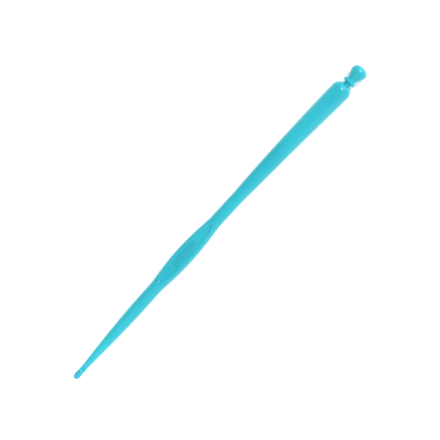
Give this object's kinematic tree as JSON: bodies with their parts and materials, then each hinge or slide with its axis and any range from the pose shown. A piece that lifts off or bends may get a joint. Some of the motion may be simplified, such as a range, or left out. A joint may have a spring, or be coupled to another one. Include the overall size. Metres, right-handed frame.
{
  "type": "crochet hook",
  "caption": "Moulded plastic crochet hook: rounded hooked head, tapering shaft, flattened thumb rest with an oval recess, swelling handle, and a collar and knob at the end.",
  "frame": {"origin": "middle of the bottom of the bounding box, under the hook's middle", "axes": "+X runs from the nose to the knob, +Z out of the ribbed face of the thumb rest, and the hook bows slightly towards +Y"},
  "size_m": [0.1652, 0.0084, 0.0081],
  "materials": {
    "hook_plastic": "gloss"
  },
  "bodies": {
    "root": {"hook_head": "hook_plastic", "throat": "hook_plastic", "shaft": "hook_plastic", "thumb_rest": "hook_plastic", "size_ribs": "hook_plastic", "handle": "hook_plastic", "collar": "hook_plastic", "end_knob": "hook_plastic"}
  },
  "joints": []
}
